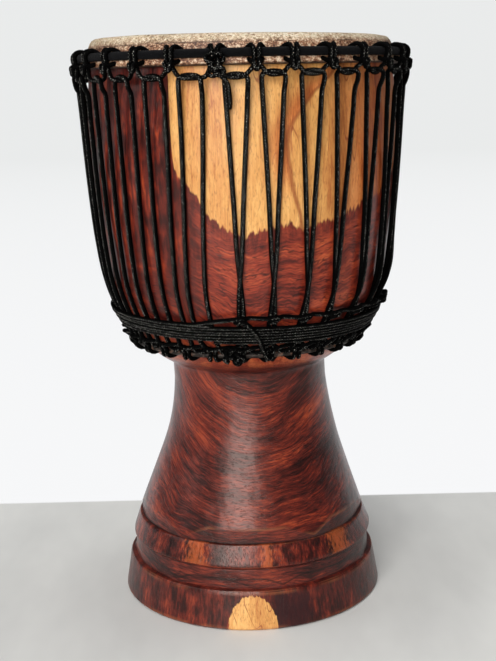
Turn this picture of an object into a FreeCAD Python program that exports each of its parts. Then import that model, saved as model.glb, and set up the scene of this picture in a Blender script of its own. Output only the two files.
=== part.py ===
import FreeCAD, Part
import math
import os
import Sketcher

# A rope-tuned djembe: a carved goblet shell, a rawhide head held by two steel rings, a steel
# ring under the bowl, and one long braided rope laced between the upper and the lower loops.
# Axes: +Z up, origin at the middle of the foot, on the floor. The player's side faces -Y.
# Lengths are in millimetres, angles in degrees, counted from -Y towards +X.

# Driving dimensions
DIMENSIONS = {
    "rope_diameter": 4.7,
    "skin_thickness": 0.9,
    "hide_fold_clearance": 0.2,
    "hide_hem_rise": 2.0,
    "loop_count": 28,
    "pulled_count": 13,
    "first_loop_angle": -2.83,
    "flesh_ring_radius": 165.6,
    "flesh_ring_height": 583.0,
    "flesh_rod_radius": 3.0,
    "crown_ring_radius": 170.9,
    "crown_ring_height": 590.4,
    "crown_rod_radius": 3.0,
    "crown_wrap_radius": 4.3,
    "bottom_ring_radius": 124.2,
    "bottom_ring_height": 292.0,
    "bottom_rod_radius": 3.0,
    "winding_turns": 5,
    "winding_low_radius": 141.6,
    "winding_low_height": 309.0,
    "winding_high_radius": 151.2,
    "winding_high_height": 327.8,
    "head_knot_height": 578.0,
    "head_knot_radius": 179.0,
    "head_knot_size": 5.0,
    "tie_knot_angle": -5.5,
    "tie_knot_radius": 143.6,
    "tie_knot_height": 296.8,
    "tie_knot_size": 5.2,
}

# Turning points of the revolved outlines, as (radius, height)
PROFILE_POINTS = {
    # outside of the shell, from the floor up
    "foot_rim": (145.5, 0.0),
    "foot_band_top": (138.8, 40.5),
    "recess_low": (134.8, 42.0),
    "recess_high": (131.6, 61.0),
    "lip_edge": (135.1, 66.0),
    "upper_band_top": (127.6, 87.0),
    "step_inner": (125.0, 88.5),
    "facets_top": (123.0, 102.5),
    "stem_flare": (103.2, 156.0),
    "stem_middle": (90.8, 199.0),
    "waist": (84.7, 243.0),
    "crease": (85.0, 263.0),
    "underside_middle": (102.5, 274.5),
    "underside_top": (118.0, 289.0),
    "bowl_low_middle": (137.5, 320.0),
    "bowl_low_top": (152.0, 360.0),
    "bowl_middle": (160.0, 420.0),
    "belly": (165.0, 485.0),
    "bowl_high_middle": (163.6, 540.0),
    "edge_outer": (159.5, 595.0),
    "edge_middle": (157.0, 603.5),
    "edge_crest": (151.5, 608.4),
    # inside of the shell, from the bearing edge down
    "edge_inner": (148.5, 607.2),
    "bevel_low": (145.0, 600.0),
    "inside_belly": (150.2, 490.0),
    "inside_bowl": (138.6, 360.0),
    "inside_cup": (108.0, 301.0),
    "throat_top": (61.0, 268.0),
    "throat_low": (60.0, 236.0),
    "inside_flare": (78.0, 150.0),
    "inside_foot": (114.0, 40.0),
    "foot_inner_rim": (124.0, 0.0),
    # hide over the bearing edge and down to the flesh ring
    "hide_centre_under": (0.0, 608.7),
    "hide_crest_under": (151.8, 608.7),
    "hide_bend_under": (157.4, 603.8),
    "hide_side_under": (160.0, 595.0),
}


def make_sheet(document):
    """Put every driving dimension in a spreadsheet, each with its own alias."""
    sheet = document.addObject("Spreadsheet::Sheet", "Dimensions")
    cells = dict(DIMENSIONS)
    for name, (radius, height) in PROFILE_POINTS.items():
        cells[name + "_radius"] = radius
        cells[name + "_height"] = height
    for row, (alias, value) in enumerate(cells.items(), start=1):
        sheet.set(f"A{row}", alias)
        sheet.set(f"B{row}", str(value))
        sheet.setAlias(f"B{row}", alias)
    document.recompute()
    return sheet


document = FreeCAD.newDocument("djembe")
sheet = make_sheet(document)


def size(alias):
    """The value that the spreadsheet holds under this alias."""
    return float(getattr(sheet, alias))


ROPE_RADIUS = size("rope_diameter") / 2
PITCH = 360.0 / size("loop_count")


# Revolved pieces: one closed outline on the XZ plane, turned about Z

def origin_plane(body, role):
    return next(plane for plane in body.Origin.OriginFeatures if plane.Role == role)


def outline_point(name):
    return FreeCAD.Vector(size(name + "_radius"), size(name + "_height"), 0)


def arc_geometry(start, middle, end):
    """An anticlockwise sketch arc, and the numbers of its points at start and at end."""
    circle = Part.Arc(start, middle, end).toShape().Curve
    centre = circle.Center
    angles = [math.atan2(p.y - centre.y, p.x - centre.x) for p in (start, end)]
    turn = (middle - start).cross(end - middle).z
    ends = (1, 2)
    if turn < 0:
        angles.reverse()
        ends = (2, 1)
    if angles[1] < angles[0]:
        angles[1] += 2 * math.pi
    round_edge = Part.Circle(centre, FreeCAD.Vector(0, 0, 1), circle.Radius)
    return Part.ArcOfCircle(round_edge, angles[0], angles[1]), ends


def bind_point(sketch, geometry, point_number, name):
    """Hold a sketch point at the radius and height that the sheet gives for this name."""
    position = outline_point(name)
    across = sketch.addConstraint(
        Sketcher.Constraint("DistanceX", -1, 1, geometry, point_number, position.x))
    sketch.setExpression(f"Constraints[{across}]", f"Dimensions.{name}_radius")
    up = sketch.addConstraint(
        Sketcher.Constraint("DistanceY", -1, 1, geometry, point_number, position.y))
    sketch.setExpression(f"Constraints[{up}]", f"Dimensions.{name}_height")


def closed_outline(sketch, stretches):
    """Draw the outline: each stretch is a point's name, or (name on the arc, name at its end)."""
    names = [stretch[-1] if isinstance(stretch, tuple) else stretch for stretch in stretches]
    joints = []
    for index, stretch in enumerate(stretches):
        start = outline_point(names[index - 1])
        end = outline_point(names[index])
        if isinstance(stretch, tuple):
            arc, ends = arc_geometry(start, outline_point(stretch[0]), end)
            geometry = sketch.addGeometry(arc, False)
            marker = sketch.addGeometry(Part.Point(outline_point(stretch[0])), True)
            bind_point(sketch, marker, 1, stretch[0])
            sketch.addConstraint(Sketcher.Constraint("PointOnObject", marker, 1, geometry))
        else:
            geometry = sketch.addGeometry(Part.LineSegment(start, end), False)
            ends = (1, 2)
        joints.append((geometry, ends))
    for index, (geometry, ends) in enumerate(joints):
        before, ends_before = joints[index - 1]
        sketch.addConstraint(
            Sketcher.Constraint("Coincident", before, ends_before[1], geometry, ends[0]))
        bind_point(sketch, geometry, ends[0], names[index - 1])


def revolved_body(label, stretches):
    body = document.addObject("PartDesign::Body", label)
    body.Label = label
    sketch = body.newObject("Sketcher::SketchObject", label + "_outline")
    sketch.AttachmentSupport = [(origin_plane(body, "XZ_Plane"), "")]
    sketch.MapMode = "FlatFace"
    closed_outline(sketch, stretches)
    turned = body.newObject("PartDesign::Revolution", label + "_turned")
    turned.Profile = sketch
    turned.ReferenceAxis = (sketch, ["V_Axis"])
    turned.Angle = 360
    document.recompute()
    return body


# Rope: straight runs joined by tangent arcs, swept with a round section
LONGEST_CUT_SHARE = 0.48      # of a run, that one corner's arc may take
VOLUME_TOLERANCE = 0.01
ROPE_CLEARANCE = 0.1          # between a rope and the ring or rope that it lies against

def place(radius, angle, height):
    """A point at this distance from the drum's axis, angle from the front and height."""
    turn = math.radians(angle)
    return FreeCAD.Vector(radius * math.sin(turn), -radius * math.cos(turn), height)


def rope_route(corners, bends):
    """A wire through the corners, each rounded by the largest arc up to its bend that fits."""
    edges = []
    pen = corners[0]
    for before, corner, after, bend in zip(corners, corners[1:], corners[2:], bends):
        run_in = corner - before
        run_out = after - corner
        half_turn = run_in.getAngle(run_out) / 2
        longest_cut = LONGEST_CUT_SHARE * min(run_in.Length, run_out.Length)
        cut = min(bend * math.tan(half_turn), longest_cut)
        run_in.normalize()
        run_out.normalize()
        arc_start = corner - run_in * cut
        arc_end = corner + run_out * cut
        inward = run_out - run_in
        inward.normalize()
        radius = cut / math.tan(half_turn)
        arc_middle = corner + inward * (radius / math.cos(half_turn) - radius)
        edges.append(Part.LineSegment(pen, arc_start).toShape())
        edges.append(Part.Arc(arc_start, arc_middle, arc_end).toShape())
        pen = arc_end
    edges.append(Part.LineSegment(pen, corners[-1]).toShape())
    return Part.Wire(edges)


def rope(corners, bends):
    """A round rope along the corners. Its volume has to be its section times its length."""
    route = rope_route(corners, bends)
    section = Part.Wire(Part.makeCircle(ROPE_RADIUS, corners[0], corners[1] - corners[0]))
    solid = route.makePipeShell([section], True, False)
    expected = math.pi * ROPE_RADIUS ** 2 * route.Length
    if abs(solid.Volume / expected - 1) > VOLUME_TOLERANCE:
        raise RuntimeError(f"a rope has volume {solid.Volume:.0f}, not {expected:.0f}")
    return solid


def turned_copy(shape, angle):
    return shape.rotated(FreeCAD.Vector(0, 0, 0), FreeCAD.Vector(0, 0, 1), angle)


def shape_node(label, solids):
    node = document.addObject("Part::Feature", label)
    node.Label = label
    node.Shape = Part.makeCompound(solids)
    node.Placement = FreeCAD.Placement()
    return node


def ring_node(label, radius_alias, height_alias, rod_alias):
    ring = document.addObject("Part::Torus", label)
    ring.Label = label
    ring.setExpression("Radius1", "Dimensions." + radius_alias)
    ring.setExpression("Radius2", "Dimensions." + rod_alias)
    ring.setExpression("Placement.Base.z", "Dimensions." + height_alias)
    return ring


# The carved goblet, one block of wood
shell = revolved_body("shell", [
    "foot_rim", "foot_band_top", "recess_low", "recess_high", "lip_edge", "upper_band_top",
    "step_inner", "facets_top", "stem_flare", ("stem_middle", "waist"), "crease",
    ("underside_middle", "underside_top"), ("bowl_low_middle", "bowl_low_top"),
    ("bowl_middle", "belly"), ("bowl_high_middle", "edge_outer"), ("edge_middle", "edge_crest"),
    "edge_inner", "bevel_low", ("inside_belly", "inside_bowl"), ("inside_cup", "throat_top"),
    "throat_low", "inside_flare", "inside_foot", "foot_inner_rim",
])

# The hide: flat over the bearing edge, down the side and folded round the flesh ring

def make_skin():
    """The hide as one turned shell: its inner line is offset outwards by its thickness."""
    thickness = size("skin_thickness")
    ring_radius = size("flesh_ring_radius")
    ring_height = size("flesh_ring_height")
    fold = size("flesh_rod_radius") + size("hide_fold_clearance")
    fold_outside = fold + thickness
    centre = FreeCAD.Vector(0, 0, size("hide_centre_under_height"))
    crest = FreeCAD.Vector(size("hide_crest_under_radius"), 0, size("hide_crest_under_height"))
    bend = FreeCAD.Vector(size("hide_bend_under_radius"), 0, size("hide_bend_under_height"))
    side = FreeCAD.Vector(size("hide_side_under_radius"), 0, size("hide_side_under_height"))
    lift = FreeCAD.Vector(0, 0, thickness)
    outward = FreeCAD.Vector(thickness, 0, 0)
    slanted = (outward + lift) * math.sqrt(0.5)
    hem_height = ring_height + size("hide_hem_rise")

    def beside_ring(distance, height):
        return FreeCAD.Vector(ring_radius + distance, 0, height)

    below_ring = ring_height - fold
    edges = [
        Part.LineSegment(centre, crest),
        Part.Arc(crest, bend, side),
        Part.LineSegment(side, beside_ring(-fold_outside, ring_height)),
        Part.Arc(beside_ring(-fold_outside, ring_height), beside_ring(0, below_ring - thickness),
                 beside_ring(fold_outside, ring_height)),
        Part.LineSegment(beside_ring(fold_outside, ring_height), beside_ring(fold_outside, hem_height)),
        Part.LineSegment(beside_ring(fold_outside, hem_height), beside_ring(fold, hem_height)),
        Part.LineSegment(beside_ring(fold, hem_height), beside_ring(fold, ring_height)),
        Part.Arc(beside_ring(fold, ring_height), beside_ring(0, below_ring),
                 beside_ring(-fold, ring_height)),
        Part.LineSegment(beside_ring(-fold, ring_height), side + outward),
        Part.Arc(side + outward, bend + slanted, crest + lift),
        Part.LineSegment(crest + lift, centre + lift),
        Part.LineSegment(centre + lift, centre),
    ]
    section = Part.Face(Part.Wire([edge.toShape() for edge in edges]))
    return section.revolve(FreeCAD.Vector(0, 0, 0), FreeCAD.Vector(0, 0, 1), 360)


skin = shape_node("drumhead_skin", [make_skin()])

# Three steel rings, and the cloth bound round the crown ring
flesh_ring = ring_node("flesh_ring", "flesh_ring_radius", "flesh_ring_height", "flesh_rod_radius")
crown_ring = ring_node("crown_ring", "crown_ring_radius", "crown_ring_height", "crown_rod_radius")
bottom_ring = ring_node(
    "bottom_ring", "bottom_ring_radius", "bottom_ring_height", "bottom_rod_radius")
cloth_outside = ring_node(
    "cloth_outside", "crown_ring_radius", "crown_ring_height", "crown_wrap_radius")
cloth_inside = ring_node(
    "cloth_inside", "crown_ring_radius", "crown_ring_height", "crown_rod_radius")
crown_ring_wrap = document.addObject("Part::Cut", "crown_ring_wrap")
crown_ring_wrap.Label = "crown_ring_wrap"
crown_ring_wrap.Base = cloth_outside
crown_ring_wrap.Tool = cloth_inside

# Angles in one loop: its two legs at a ring, and the two lacing strands that hang in it
HALF_LEG_GAP = ROPE_RADIUS + ROPE_CLEARANCE
LOOP_LEG_ANGLE = PITCH / 2 - math.degrees(HALF_LEG_GAP / size("crown_ring_radius"))
BOTTOM_LEG_ANGLE = PITCH / 2 - math.degrees(HALF_LEG_GAP / size("bottom_ring_radius"))
STRAND_ANGLE = PITCH / 4
LOOP_CORNER_ANGLE = STRAND_ANGLE + 0.55
LOOP_BEND = 4.0
STEP_ASIDE = ROPE_RADIUS + 0.5      # of crossing ropes, each way from the circle between them


def loop_angle(index):
    return size("first_loop_angle") + index * PITCH


# Upper loops: each hooks over the crown ring at both ends and hangs as a flat-bottomed cradle
HEAD_LOOP_LOW = 566.5
HEAD_LOOP_MIDDLE_RADIUS = 174.1
HEAD_LOOP_SPREAD = 14.5             # the legs spread over this height above the cradle
HOOK_DROP = 1.0                     # a hook's end is this far below the middle of the crown ring


def make_head_loop():
    hook = size("crown_wrap_radius") + ROPE_RADIUS + ROPE_CLEARANCE
    hook_end = size("crown_ring_height") - HOOK_DROP
    spread_from = HEAD_LOOP_LOW + HEAD_LOOP_SPREAD
    over = size("crown_ring_height") + hook
    inner = size("crown_ring_radius") - hook
    outer = size("crown_ring_radius") + hook
    leg = LOOP_LEG_ANGLE
    return rope([
        place(inner, -leg, hook_end),
        place(inner, -leg, over),
        place(outer, -leg, over),
        place(outer, -leg, spread_from),
        place(HEAD_LOOP_MIDDLE_RADIUS + STEP_ASIDE, -LOOP_CORNER_ANGLE, HEAD_LOOP_LOW),
        place(HEAD_LOOP_MIDDLE_RADIUS - STEP_ASIDE, LOOP_CORNER_ANGLE, HEAD_LOOP_LOW),
        place(outer, leg, spread_from),
        place(outer, leg, over),
        place(inner, leg, over),
        place(inner, leg, hook_end),
    ], [hook, hook] + [LOOP_BEND] * 4 + [hook, hook])


# Lower loops: the same under the bottom ring, standing up to catch the foot of the lacing
BOTTOM_LOOP_TOP = 301.5
BOTTOM_LOOP_INNER_RADIUS = 129.9
BOTTOM_LOOP_OUTER_RADIUS = 137.7
BOTTOM_HOOK_SHARE = 0.5             # of the hook's reach, that goes inside the bottom ring


def make_bottom_loop():
    hook = size("bottom_rod_radius") + ROPE_RADIUS + ROPE_CLEARANCE
    under = size("bottom_ring_height") - hook
    inner = size("bottom_ring_radius") - BOTTOM_HOOK_SHARE * hook
    outer = size("bottom_ring_radius") + hook
    leg = BOTTOM_LEG_ANGLE
    return rope([
        place(inner, -leg, under),
        place(outer, -leg, under),
        place(outer, -leg, size("bottom_ring_height")),
        place(BOTTOM_LOOP_OUTER_RADIUS, -LOOP_CORNER_ANGLE, BOTTOM_LOOP_TOP),
        place(BOTTOM_LOOP_INNER_RADIUS, LOOP_CORNER_ANGLE, BOTTOM_LOOP_TOP),
        place(outer, leg, size("bottom_ring_height")),
        place(outer, leg, under),
        place(inner, leg, under),
    ], [hook] + [LOOP_BEND] * 4 + [hook])


# The long lacing rope: up one strand, over the cradle of an upper loop, down the next strand,
# and under to the next lower loop. Strands lie on the bowl from the belly down.
LACING_TOP = HEAD_LOOP_LOW + 5.7
LACING_FOOT = BOTTOM_LOOP_TOP - 5.1
FOOT_INNER_RADIUS = 127.2
FOOT_OUTER_RADIUS = 135.6
BOWL_CORNERS = ((135.8, 309.0), (147.1, 331.0), (156.1, 360.0), (162.9, 408.0), (168.5, 478.0))
BOWL_BEND = 200.0
PAIRED_FROM = 331.0
PAIRED_TO = 408.0
HALF_PAIR_GAP = ROPE_RADIUS + 0.15
CORNER_CUT = 1.5                    # the strands' arcs pass this far inside their corners


def strand_corners(side, pulled, top_radius, foot_radius):
    """Corners of one strand from its foot to its top, on the left (-1) or right (1) of a loop."""
    corners = [place(foot_radius, side * (PITCH / 2 - STRAND_ANGLE), LACING_FOOT)]
    for radius, height in BOWL_CORNERS:
        angle = side * STRAND_ANGLE
        if pulled and PAIRED_FROM <= height <= PAIRED_TO:
            angle = side * math.degrees(HALF_PAIR_GAP / (radius - CORNER_CUT))
        corners.append(place(radius, angle, height))
    corners.append(place(top_radius, side * STRAND_ANGLE, LACING_TOP))
    return corners


def make_lacing(pulled):
    """One zigzag of the lacing, from the middle of one lower loop to the middle of the next."""
    left = strand_corners(-1, pulled, HEAD_LOOP_MIDDLE_RADIUS - STEP_ASIDE, FOOT_OUTER_RADIUS)
    right = strand_corners(1, pulled, HEAD_LOOP_MIDDLE_RADIUS + STEP_ASIDE, FOOT_INNER_RADIUS)
    middle_radius = (FOOT_INNER_RADIUS + FOOT_OUTER_RADIUS) / 2
    start = place(middle_radius, -PITCH / 2, LACING_FOOT)
    end = place(middle_radius, PITCH / 2, LACING_FOOT)
    strand_bends = [LOOP_BEND] + [BOWL_BEND] * len(BOWL_CORNERS) + [LOOP_BEND]
    return rope([start] + left + right[::-1] + [end], strand_bends + strand_bends)


head_loop = make_head_loop()
bottom_loop = make_bottom_loop()
straight_lacing = make_lacing(False)
pulled_lacing = make_lacing(True)
loop_total = int(size("loop_count"))
pulled_total = int(size("pulled_count"))

head_loops = shape_node(
    "head_loops", [turned_copy(head_loop, loop_angle(i)) for i in range(loop_total)])
bottom_loops = shape_node(
    "bottom_loops", [turned_copy(bottom_loop, loop_angle(i + 0.5)) for i in range(loop_total)])
lacing_pulled = shape_node(
    "lacing_pulled", [turned_copy(pulled_lacing, loop_angle(i)) for i in range(pulled_total)])
lacing_straight = shape_node(
    "lacing_straight",
    [turned_copy(straight_lacing, loop_angle(i)) for i in range(pulled_total, loop_total)])

# The end of the lacing rope: a row woven over the pulled pairs, then stored in turns round the
# bowl over all the strands, and tied off at the front
WEAVE_HEIGHT = 339.5
WEAVE_OVER_RADIUS = 155.4
WEAVE_BETWEEN_RADIUS = 150.8
WEAVE_BEND = 25.0
WEAVE_HALF_WIDTH = 1.2              # degrees that it stays over each pair, each way
WEAVE_LEAD = 11.5                   # degrees that it starts before the first pair
WEAVE_DROP = 4.5                    # and how far lower it starts


def make_weave():
    corners = [place(WEAVE_OVER_RADIUS, loop_angle(0) - WEAVE_LEAD, WEAVE_HEIGHT - WEAVE_DROP)]
    for index in range(pulled_total):
        for side in (-1, 1):
            angle = loop_angle(index) + side * WEAVE_HALF_WIDTH
            corners.append(place(WEAVE_OVER_RADIUS, angle, WEAVE_HEIGHT))
        corners.append(place(WEAVE_BETWEEN_RADIUS, loop_angle(index + 0.5), WEAVE_HEIGHT))
    return rope(corners, [WEAVE_BEND] * (len(corners) - 2))


def make_winding():
    """Closed turns side by side up the slope of the bowl."""
    turns = []
    last = size("winding_turns") - 1
    for index in range(int(size("winding_turns"))):
        share = index / last
        radius = size("winding_low_radius") * (1 - share) + size("winding_high_radius") * share
        height = size("winding_low_height") * (1 - share) + size("winding_high_height") * share
        turns.append(Part.makeTorus(radius, ROPE_RADIUS, FreeCAD.Vector(0, 0, height)))
    return turns


KNOT_WIDTH, KNOT_RISE = 1.9, 1.5      # a knot along the rim and upwards, against its depth


def knot_lump(radius, angle, height, half_size):
    """A knot's outer shape: wider along the rim than it is deep."""
    lump = Part.makeSphere(half_size)
    stretch = FreeCAD.Matrix()
    stretch.scale(KNOT_WIDTH, 1.0, KNOT_RISE)
    lump = turned_copy(lump.transformGeometry(stretch), angle)
    lump.translate(place(radius, angle, height))
    return lump


weave_rope = shape_node("weave_rope", [make_weave()])
rope_winding = shape_node("rope_winding", make_winding())

# Tail of the winding: it crosses the turns on the slant and ends below them
TAIL_CORNERS = (
    (158.4, -0.5, 333.0),
    (156.2, 2.0, 324.0),
    (148.0, 5.2, 307.5),
    (141.2, 7.5, 294.0),
)
TAIL_BENDS = (30.0, 30.0)
winding_tie_strand = shape_node("winding_tie_strand", [
    rope([place(*corner) for corner in TAIL_CORNERS], TAIL_BENDS)])
winding_tie_knot = shape_node("winding_tie_knot", [knot_lump(
    size("tie_knot_radius"), size("tie_knot_angle"), size("tie_knot_height"),
    size("tie_knot_size"))])

# The two ends of the upper loop rope are joined in one knot, on the loops beside the front
head_knot_angle = loop_angle(-0.5)
head_loops_knot = shape_node("head_loops_knot", [knot_lump(
    size("head_knot_radius"), head_knot_angle, size("head_knot_height"), size("head_knot_size"))])

document.recompute()

# Nothing is written unless every object and every shape is sound
NODES = [
    shell, skin, flesh_ring, crown_ring, crown_ring_wrap, bottom_ring, head_loops,
    head_loops_knot, bottom_loops, lacing_straight, lacing_pulled, weave_rope, rope_winding,
    winding_tie_strand, winding_tie_knot,
]
failed = [item.Name for item in document.Objects if {"Invalid", "Error"} & set(item.State)]
unsound = [node.Label for node in NODES if node.Shape.isNull() or not node.Shape.isValid()]
if failed or unsound:
    raise RuntimeError(f"failed objects {failed}, unsound shapes {unsound}")

os.makedirs("parts", exist_ok=True)
for node in NODES:
    node.Shape.exportStep(f"parts/{node.Label}.step")
    print(node.Label, len(node.Shape.Solids), "solids", round(node.Shape.Volume / 1000, 2), "cm3")
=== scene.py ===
import math

import bpy
import numpy as np
from mathutils import Matrix, Vector


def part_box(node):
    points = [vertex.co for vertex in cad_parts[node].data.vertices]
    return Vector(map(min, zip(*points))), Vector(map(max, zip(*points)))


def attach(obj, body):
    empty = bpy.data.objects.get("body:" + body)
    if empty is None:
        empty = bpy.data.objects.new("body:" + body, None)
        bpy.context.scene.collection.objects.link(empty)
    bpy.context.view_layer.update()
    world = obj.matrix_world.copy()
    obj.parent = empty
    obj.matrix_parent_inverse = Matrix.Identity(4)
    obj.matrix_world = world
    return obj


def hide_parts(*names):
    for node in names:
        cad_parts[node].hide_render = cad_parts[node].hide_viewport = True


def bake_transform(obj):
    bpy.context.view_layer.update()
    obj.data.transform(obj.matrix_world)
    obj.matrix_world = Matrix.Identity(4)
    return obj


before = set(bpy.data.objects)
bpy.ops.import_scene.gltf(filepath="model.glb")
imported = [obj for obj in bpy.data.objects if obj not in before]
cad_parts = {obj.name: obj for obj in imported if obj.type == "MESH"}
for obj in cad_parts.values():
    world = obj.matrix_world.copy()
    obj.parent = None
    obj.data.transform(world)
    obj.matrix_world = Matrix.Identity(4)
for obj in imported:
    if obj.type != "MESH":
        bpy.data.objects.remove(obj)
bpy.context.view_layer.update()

# A rope-tuned djembe. Metres, the CAD's frame: +Z up, the player's side towards -Y.
# Positions round the drum are (radius, angle, height), the angle in degrees from -Y towards +X.

MM = 0.001


# Sizes that the CAD decides

def ring_size(node):
    """Radius, height and rod radius of a CAD ring."""
    low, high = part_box(node)
    rod = (high.z - low.z) / 2
    return high.x - rod, (low.z + high.z) / 2, rod


CROWN_RADIUS, CROWN_HEIGHT, WRAP_ROD = ring_size("crown_ring_wrap")
FLESH_RADIUS, FLESH_HEIGHT, FLESH_ROD = ring_size("flesh_ring")
BOTTOM_RADIUS, BOTTOM_HEIGHT, BOTTOM_ROD = ring_size("bottom_ring")
SKIN_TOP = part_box("drumhead_skin")[1].z

LOOP_COUNT = 28
PULLED_COUNT = 13
PITCH = 360 / LOOP_COUNT
STRAND = PITCH / 4
TOP_STRAND = 3.55                # degrees; at the cradle the strands hang a little farther apart
FIRST_LOOP = -2.83
ROPE_RADIUS = 2.35 * MM
KNOTTED_RADIUS = 2.2 * MM        # rope pulled tight in a hitch is a little thinner
KNOT_ROPE = 2.0 * MM


def loop_angle(index):
    return FIRST_LOOP + index * PITCH


def metres(corners):
    """Corners (radius, angle, height) given in millimetres, with both lengths in metres."""
    return [(radius * MM, angle, height * MM) for radius, angle, height in corners]


def place(points):
    """Points (radius, angle, height) as x, y, z."""
    radius, angle, height = np.asarray(points, float).T
    turn = np.radians(angle)
    return np.column_stack([radius * np.sin(turn), -radius * np.cos(turn), height])


# Camera, floor and lights

LENS, SENSOR = 63.13, 36                 # millimetres
CAMERA_PLACE = (0.00125, -1.2683, 0.56405)
CAMERA_DROP, CAMERA_ROLL = 12.142, -1.35      # degrees down from level, and round its own axis
BACKDROP = (0.82, 0.832, 0.83)
AMBIENT, AMBIENT_POWER = (0.95, 0.98, 1.0), 0.12
FLOOR_HALF, FLOOR_DROP = 90.0, 0.0004
FLOOR_EDGE = (0.250, 0.256)              # in y; past it the floor reads as a wall


def aim(thing, target):
    thing.rotation_euler = (Vector(target) - thing.location).to_track_quat("-Z", "Y").to_euler()


def make_camera():
    data = bpy.data.cameras.new("camera")
    data.sensor_width = SENSOR
    data.lens = LENS
    camera = bpy.data.objects.new("camera", data)
    bpy.context.collection.objects.link(camera)
    tilt = Matrix.Rotation(math.radians(90 - CAMERA_DROP), 4, "X")
    roll = Matrix.Rotation(math.radians(CAMERA_ROLL), 4, "Z")
    camera.matrix_world = Matrix.Translation(CAMERA_PLACE) @ tilt @ roll
    bpy.context.scene.camera = camera


def area_light(name, location, target, width, height, power, colour):
    data = bpy.data.lights.new(name, "AREA")
    data.shape = "RECTANGLE"
    data.size = width
    data.size_y = height
    data.energy = power
    data.color = colour
    light = bpy.data.objects.new(name, data)
    bpy.context.collection.objects.link(light)
    light.location = location
    bpy.context.view_layer.update()
    aim(light, target)


def make_world():
    """The camera sees a pale backdrop, and the scene gets a weaker, slightly blue light from it."""
    world = bpy.data.worlds.new("studio")
    bpy.context.scene.world = world
    world.use_nodes = True
    tree = world.node_tree
    tree.nodes.clear()
    path = tree.nodes.new("ShaderNodeLightPath")
    seen = tree.nodes.new("ShaderNodeBackground")
    seen.inputs["Color"].default_value = (*BACKDROP, 1)
    lights = tree.nodes.new("ShaderNodeBackground")
    lights.inputs["Color"].default_value = (*AMBIENT, 1)
    lights.inputs["Strength"].default_value = AMBIENT_POWER
    both = tree.nodes.new("ShaderNodeMixShader")
    out = tree.nodes.new("ShaderNodeOutputWorld")
    tree.links.new(path.outputs["Is Camera Ray"], both.inputs[0])
    tree.links.new(lights.outputs[0], both.inputs[1])
    tree.links.new(seen.outputs[0], both.inputs[2])
    tree.links.new(both.outputs[0], out.inputs["Surface"])


# Node materials

class Shader:
    """A material with a principled surface, and a short call for each kind of node."""

    def __init__(self, name):
        self.material = bpy.data.materials.new(name)
        self.material.use_nodes = True
        self.tree = self.material.node_tree
        self.surface = self.tree.nodes["Principled BSDF"]

    def node(self, kind, inputs=(), **settings):
        node = self.tree.nodes.new(kind)
        for name, value in settings.items():
            setattr(node, name, value)
        for key, value in dict(inputs).items():
            self.put(node.inputs[key], value)
        return node

    def put(self, socket, value):
        if isinstance(value, bpy.types.NodeSocket):
            self.tree.links.new(value, socket)
        else:
            socket.default_value = value

    def math(self, operation, *values):
        inputs = dict(enumerate(values))
        return self.node("ShaderNodeMath", inputs, operation=operation).outputs[0]

    def times(self, one, other):
        return self.math("MULTIPLY", one, other)

    def plus(self, one, other):
        return self.math("ADD", one, other)

    def minus(self, one, other):
        return self.math("SUBTRACT", one, other)

    def over(self, one, other):
        return self.math("DIVIDE", one, other)

    def larger(self, one, other):
        return self.math("MAXIMUM", one, other)

    def size(self, value):
        return self.math("ABSOLUTE", value)

    def mix(self, share, first, second):
        inputs = {0: share, 6: first, 7: second}
        return self.node("ShaderNodeMix", inputs, data_type="RGBA").outputs[2]

    def step(self, value, low, high):
        """0 below low and 1 above high, smooth between."""
        inputs = {"Value": value, "From Min": low, "From Max": high}
        return self.node("ShaderNodeMapRange", inputs, interpolation_type="SMOOTHSTEP").outputs[0]

    def position(self):
        return self.node("ShaderNodeTexCoord").outputs["Object"]

    def stretch(self, vector, scale, turn=(0, 0, 0)):
        inputs = {"Vector": vector, "Scale": scale, "Rotation": turn}
        return self.node("ShaderNodeMapping", inputs).outputs[0]

    def split(self, vector):
        return self.node("ShaderNodeSeparateXYZ", {0: vector}).outputs

    def join(self, x, y, z):
        return self.node("ShaderNodeCombineXYZ", {0: x, 1: y, 2: z}).outputs[0]

    def choose(self, amount, one, other):
        """The first value where the amount is 0 and the second where it is 1."""
        return self.node("ShaderNodeMix", {0: amount, 2: one, 3: other},
                         data_type="FLOAT").outputs[0]

    def weigh(self, *parts):
        """The sum of these (value, weight) pairs."""
        total = self.times(*parts[0])
        for value, weight in parts[1:]:
            total = self.plus(total, self.times(value, weight))
        return total

    def noise(self, vector, scale, detail, roughness):
        inputs = {"Vector": vector, "Scale": scale, "Detail": detail, "Roughness": roughness}
        return self.node("ShaderNodeTexNoise", inputs).outputs[0]

    def grain(self, vector, scale, detail, roughness, turn=(0, 0, 0)):
        """Noise with a scale of its own along each axis."""
        return self.noise(self.stretch(vector, scale, turn), 1, detail, roughness)

    def ramp(self, value, stops):
        """A colour from stops (position, red, green, blue), the colour as for rgba."""
        node = self.node("ShaderNodeValToRGB", {0: value})
        elements = node.color_ramp.elements
        while len(elements) < len(stops):
            elements.new(0.5)
        for element, (position, *colour) in zip(elements, stops):
            element.position = position
            element.color = rgba(*colour)
        return node.outputs[0]

    def curve(self, value, points):
        """A number that follows the given (in, out) points, all from 0 to 1."""
        node = self.node("ShaderNodeFloatCurve", {1: value})
        line = node.mapping.curves[0]
        while len(line.points) < len(points):
            line.points.new(0.5, 0.5)
        for point, (across, up) in zip(line.points, points):
            point.location = (across, up)
        node.mapping.update()
        return node.outputs[0]

    def bump(self, height, distance, strength=1.0, normal=None):
        inputs = {"Height": height, "Distance": distance, "Strength": strength}
        node = self.node("ShaderNodeBump", inputs)
        if normal is not None:
            self.put(node.inputs["Normal"], normal)
        return node.outputs[0]

    def finish(self, **values):
        for name, value in values.items():
            self.put(self.surface.inputs[name.replace("_", " ")], value)
        return self.material


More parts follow.
